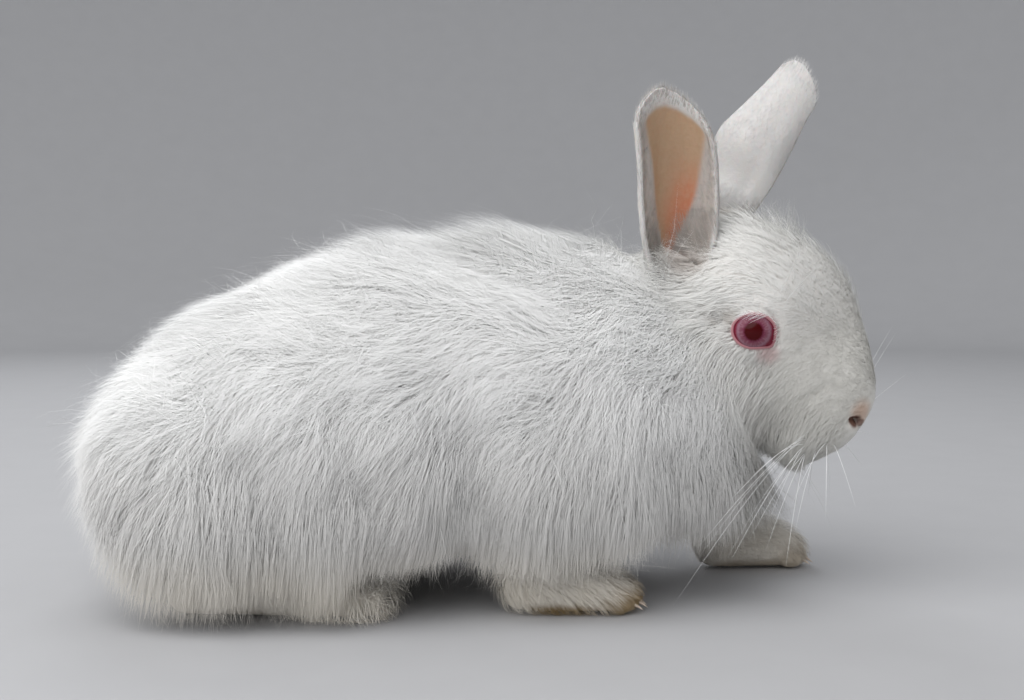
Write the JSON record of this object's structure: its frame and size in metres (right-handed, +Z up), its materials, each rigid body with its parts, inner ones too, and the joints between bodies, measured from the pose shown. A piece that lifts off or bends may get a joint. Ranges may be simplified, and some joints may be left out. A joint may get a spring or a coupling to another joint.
{
  "type": "domestic rabbit",
  "caption": "Still, life-size young long-haired rabbit in a relaxed crouch, head low, ears up, a forepaw reaching forward; it stands on its own on a flat surface.",
  "frame": {"origin": "on the floor, under the centre of the whole animal's box", "axes": "+X towards the nose, +Y to the animal's left, +Z up"},
  "size_m": [0.2684, 0.1364, 0.1754],
  "materials": {
    "wool": "soft, matt white wool in locks",
    "face_fur": "short, dense white fur",
    "ear_skin": "thin pinkish skin with a white furred rim",
    "eye": "wet and clear over a pink iris",
    "paw_fur": "short cream fur, stained golden brown at the toes"
  },
  "bodies": {
    "root": {"head": "face_fur", "ear_left": "ear_skin", "ear_right": "ear_skin", "eye_left": "eye", "eye_right": "eye", "neck": "wool", "torso": "wool", "haunch_left": "wool", "haunch_right": "wool", "tail": "wool", "foreleg_left": "paw_fur", "foreleg_right": "paw_fur", "hind_foot_left": "paw_fur", "hind_foot_right": "paw_fur"}
  },
  "joints": []
}
